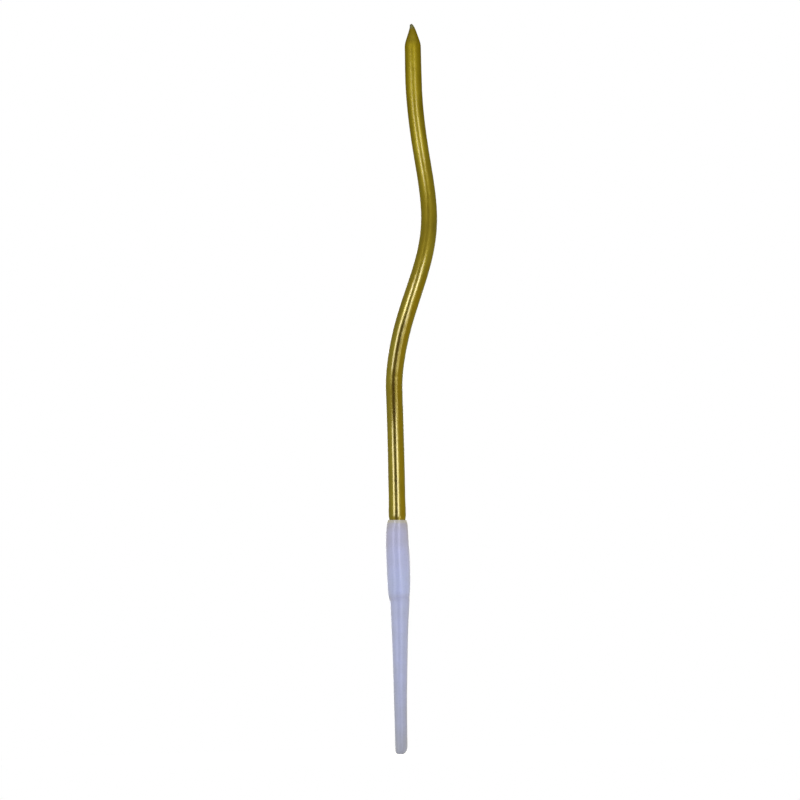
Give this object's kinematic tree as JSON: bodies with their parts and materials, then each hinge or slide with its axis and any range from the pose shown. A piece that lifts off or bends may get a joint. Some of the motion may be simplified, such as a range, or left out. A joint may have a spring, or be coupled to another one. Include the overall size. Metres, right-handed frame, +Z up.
{
  "type": "birthday candle",
  "caption": "Slim spiral birthday candle with a cotton wick, wax core and metallic gold coat, lifting out of a moulded plastic cup holder with a tapered cake spike.",
  "frame": {"origin": "on the holder's axis, at the shoulder where the spike begins and the cup stops on the icing", "axes": "+Z up along the holder's axis towards the wick, -Y towards the side that the picture shows, +X to its right"},
  "size_m": [0.0153, 0.0186, 0.1975],
  "materials": {
    "cotton": "braided cotton, tinted by the dip",
    "wax": "satin paraffin wax",
    "gold_lacquer": "metallic gold dip lacquer",
    "holder_plastic": "moulded translucent white, soft gloss"
  },
  "bodies": {
    "holder": {"holder": "holder_plastic"},
    "candle": {"wick": "cotton", "wax_core": "wax", "metallic_coat": "gold_lacquer"}
  },
  "joints": [
    {"name": "candle_pull", "type": "slide", "parent": "holder", "child": "candle", "axis": [0, 0, 1], "range_m": [0, 0.01]}
  ]
}
